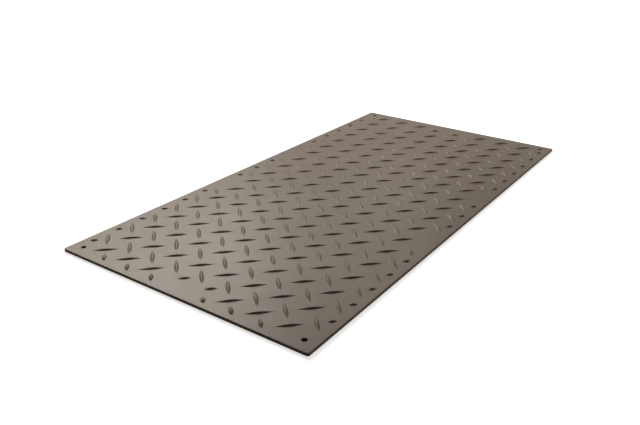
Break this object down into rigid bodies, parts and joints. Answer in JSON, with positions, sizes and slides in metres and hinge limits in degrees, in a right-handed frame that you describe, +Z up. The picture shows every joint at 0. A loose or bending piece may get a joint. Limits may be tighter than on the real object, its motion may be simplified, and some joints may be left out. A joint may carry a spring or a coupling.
{
  "type": "ground protection mat",
  "caption": "Flat dark grey polyethylene ground board with a raised diamond tread on top, a linking hole near each corner and small bare patches along its edges.",
  "frame": {"origin": "middle of the flat underside", "axes": "+X along the long side of the board, +Y along the short side, +Z up through the tread"},
  "size_m": [2.44, 1.22, 0.0187],
  "materials": {
    "polyethylene": "moulded dark brown-grey polyethylene with a fine grain and a dull sheen"
  },
  "bodies": {
    "root": {"ground_mat": "polyethylene"}
  },
  "joints": []
}
